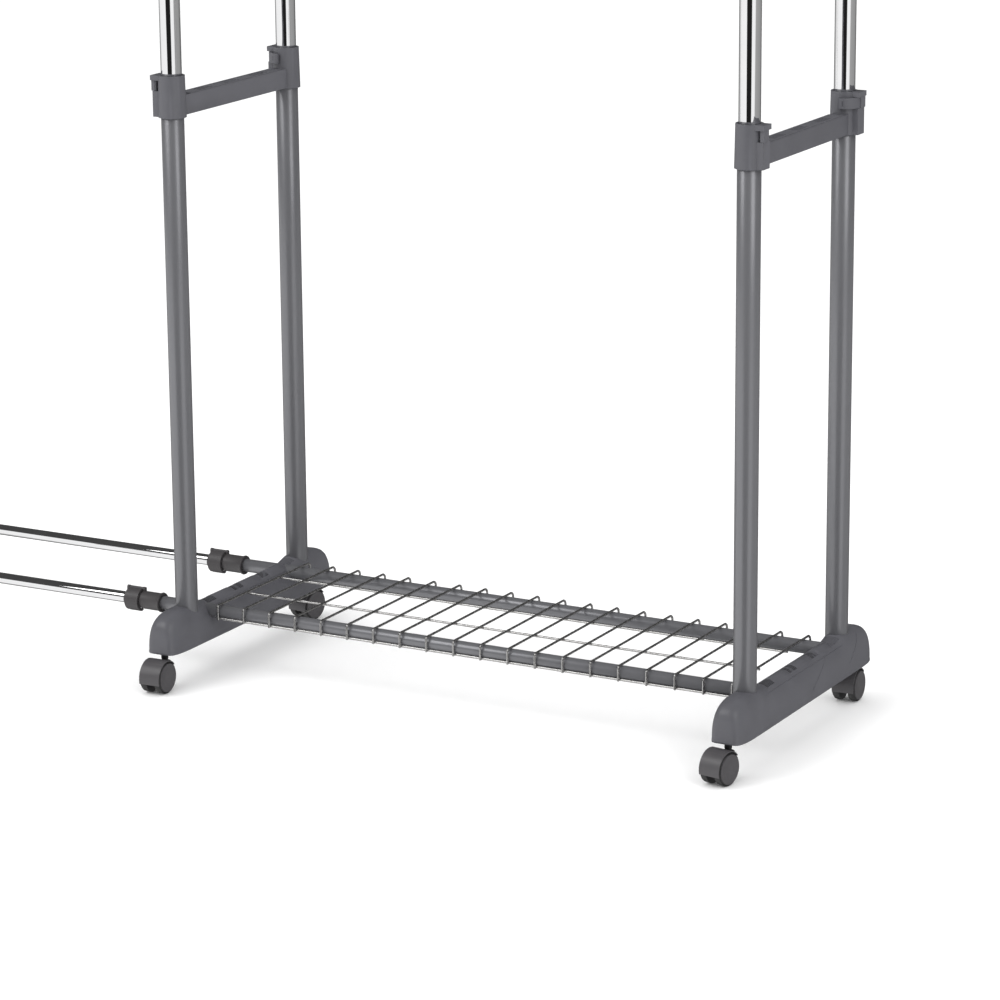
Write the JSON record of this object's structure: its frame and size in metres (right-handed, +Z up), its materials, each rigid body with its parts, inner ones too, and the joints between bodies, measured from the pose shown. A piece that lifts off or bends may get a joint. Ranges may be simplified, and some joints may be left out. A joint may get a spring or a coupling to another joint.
{
  "type": "rolling clothes rack",
  "caption": "Rolling clothes rack with telescoping front and back hanging rails, a wire shelf on bottom rails, pull-out rods at one end and swivel casters.",
  "frame": {"origin": "centre of the rack's footprint box, on the floor, with the extension rods pulled out as in the picture", "axes": "+X along the rails towards the frame with no rods, +Y from front to back, +Z up"},
  "size_m": [1.3159, 0.4143, 1.5165],
  "materials": {
    "grey_plastic": "satin moulded plastic",
    "dark_plastic": "satin moulded plastic",
    "grey_paint": "satin powder coat on steel tube",
    "chrome": "mirror chromed steel tube",
    "wire_metal": "zinc plated wire",
    "dark_steel": "blackened steel",
    "black_tread": "matt tread with a moulded rim"
  },
  "bodies": {
    "rack_base": {"back_bottom_rail": "grey_paint", "back_left_lower_tube": "grey_paint", "back_rail_lock": "dark_plastic", "back_right_lower_tube": "grey_paint", "front_bottom_rail": "grey_paint", "front_left_lower_tube": "grey_paint", "front_rail_lock": "dark_plastic", "front_right_lower_tube": "grey_paint", "left_brace": "grey_plastic", "left_foot": "grey_plastic", "right_brace": "grey_plastic", "right_foot": "grey_plastic", "wire_shelf": "wire_metal"},
    "front_hanger": {"front_left_upper_tube": "chrome", "front_left_elbow": "grey_plastic", "front_right_upper_tube": "chrome", "front_right_elbow": "grey_plastic", "front_hanging_rail": "chrome"},
    "back_hanger": {"back_left_upper_tube": "chrome", "back_left_elbow": "grey_plastic", "back_right_upper_tube": "chrome", "back_right_elbow": "grey_plastic", "back_hanging_rail": "chrome"},
    "front_rod": {"front_extension_rod": "chrome", "front_rod_cap": "dark_plastic"},
    "back_rod": {"back_extension_rod": "chrome", "back_rod_cap": "dark_plastic"},
    "front_left_height_lever": {"front_left_height_lever": "grey_plastic"},
    "back_left_height_lever": {"back_left_height_lever": "grey_plastic"},
    "front_right_height_lever": {"front_right_height_lever": "grey_plastic"},
    "back_right_height_lever": {"back_right_height_lever": "grey_plastic"},
    "front_rail_tab": {"front_rail_tab": "dark_plastic"},
    "back_rail_tab": {"back_rail_tab": "dark_plastic"},
    "front_left_swivel": {"front_left_caster_hood": "grey_plastic", "front_left_caster_stem": "dark_steel", "front_left_caster_axle": "dark_steel"},
    "front_left_caster_left_wheel": {"front_left_caster_left_wheel": "black_tread"},
    "front_left_caster_right_wheel": {"front_left_caster_right_wheel": "black_tread"},
    "front_right_swivel": {"front_right_caster_hood": "grey_plastic", "front_right_caster_stem": "dark_steel", "front_right_caster_axle": "dark_steel"},
    "front_right_caster_left_wheel": {"front_right_caster_left_wheel": "black_tread"},
    "front_right_caster_right_wheel": {"front_right_caster_right_wheel": "black_tread"},
    "back_left_swivel": {"back_left_caster_hood": "grey_plastic", "back_left_caster_stem": "dark_steel", "back_left_caster_axle": "dark_steel"},
    "back_left_caster_left_wheel": {"back_left_caster_left_wheel": "black_tread"},
    "back_left_caster_right_wheel": {"back_left_caster_right_wheel": "black_tread"},
    "back_right_swivel": {"back_right_caster_hood": "grey_plastic", "back_right_caster_stem": "dark_steel", "back_right_caster_axle": "dark_steel"},
    "back_right_caster_left_wheel": {"back_right_caster_left_wheel": "black_tread"},
    "back_right_caster_right_wheel": {"back_right_caster_right_wheel": "black_tread"}
  },
  "joints": [
    {"name": "front_rail_height", "type": "slide", "parent": "rack_base", "child": "front_hanger", "axis": [0, 0, 1], "range_m": [-0.5, 0.06]},
    {"name": "front_rod_slide", "type": "slide", "parent": "rack_base", "child": "front_rod", "axis": [1, 0, 0], "range_m": [-0.2, 0.385]},
    {"name": "back_rail_height", "type": "slide", "parent": "rack_base", "child": "back_hanger", "axis": [0, 0, 1], "range_m": [-0.5, 0.06]},
    {"name": "back_rod_slide", "type": "slide", "parent": "rack_base", "child": "back_rod", "axis": [1, 0, 0], "range_m": [-0.2, 0.385]},
    {"name": "front_left_lever_hinge", "type": "hinge", "parent": "rack_base", "child": "front_left_height_lever", "pos_m": [-0.15679, -0.12453, 0.75], "axis": [0, 0, 1], "range_deg": [0, 80]},
    {"name": "back_left_lever_hinge", "type": "hinge", "parent": "rack_base", "child": "back_left_height_lever", "pos_m": [-0.15679, 0.15353, 0.75], "axis": [0, 0, -1], "range_deg": [0, 80]},
    {"name": "front_right_lever_hinge", "type": "hinge", "parent": "rack_base", "child": "front_right_height_lever", "pos_m": [0.65149, -0.12453, 0.75], "axis": [0, 0, -1], "range_deg": [0, 80]},
    {"name": "back_right_lever_hinge", "type": "hinge", "parent": "rack_base", "child": "back_right_height_lever", "pos_m": [0.65149, 0.15353, 0.75], "axis": [0, 0, 1], "range_deg": [0, 80]},
    {"name": "front_tab_hinge", "type": "hinge", "parent": "rack_base", "child": "front_rail_tab", "pos_m": [-0.23765, -0.08134, 0.09562], "axis": [-1, 0, 0], "range_deg": [0, 85]},
    {"name": "back_tab_hinge", "type": "hinge", "parent": "rack_base", "child": "back_rail_tab", "pos_m": [-0.23765, 0.11326, 0.09562], "axis": [-1, 0, 0], "range_deg": [0, 85]},
    {"name": "front_left_swivel_turn", "type": "hinge", "parent": "rack_base", "child": "front_left_swivel", "pos_m": [-0.14065, -0.1661, 0.05], "axis": [0, 0, 1], "continuous": true},
    {"name": "front_left_left_wheel_spin", "type": "hinge", "parent": "front_left_swivel", "child": "front_left_caster_left_wheel", "pos_m": [-0.14004, -0.18359, 0.02], "axis": [0.9994, 0.0349, 0], "continuous": true},
    {"name": "front_left_right_wheel_spin", "type": "hinge", "parent": "front_left_swivel", "child": "front_left_caster_right_wheel", "pos_m": [-0.14004, -0.18359, 0.02], "axis": [0.9994, 0.0349, 0], "continuous": true},
    {"name": "front_right_swivel_turn", "type": "hinge", "parent": "rack_base", "child": "front_right_swivel", "pos_m": [0.63535, -0.1661, 0.05], "axis": [0, 0, 1], "continuous": true},
    {"name": "front_right_left_wheel_spin", "type": "hinge", "parent": "front_right_swivel", "child": "front_right_caster_left_wheel", "pos_m": [0.63246, -0.18336, 0.02], "axis": [0.9863, -0.165, 0], "continuous": true},
    {"name": "front_right_right_wheel_spin", "type": "hinge", "parent": "front_right_swivel", "child": "front_right_caster_right_wheel", "pos_m": [0.63246, -0.18336, 0.02], "axis": [0.9863, -0.165, 0], "continuous": true},
    {"name": "back_left_swivel_turn", "type": "hinge", "parent": "rack_base", "child": "back_left_swivel", "pos_m": [-0.14065, 0.1951, 0.05], "axis": [0, 0, 1], "continuous": true},
    {"name": "back_left_left_wheel_spin", "type": "hinge", "parent": "back_left_swivel", "child": "back_left_caster_left_wheel", "pos_m": [-0.14339, 0.17782, 0.02], "axis": [0.9877, -0.1564, 0], "continuous": true},
    {"name": "back_left_right_wheel_spin", "type": "hinge", "parent": "back_left_swivel", "child": "back_left_caster_right_wheel", "pos_m": [-0.14339, 0.17782, 0.02], "axis": [0.9877, -0.1564, 0], "continuous": true},
    {"name": "back_right_swivel_turn", "type": "hinge", "parent": "rack_base", "child": "back_right_swivel", "pos_m": [0.63535, 0.1951, 0.05], "axis": [0, 0, 1], "continuous": true},
    {"name": "back_right_left_wheel_spin", "type": "hinge", "parent": "back_right_swivel", "child": "back_right_caster_left_wheel", "pos_m": [0.63627, 0.17762, 0.02], "axis": [0.9986, 0.0523, 0], "continuous": true},
    {"name": "back_right_right_wheel_spin", "type": "hinge", "parent": "back_right_swivel", "child": "back_right_caster_right_wheel", "pos_m": [0.63627, 0.17762, 0.02], "axis": [0.9986, 0.0523, 0], "continuous": true}
  ]
}
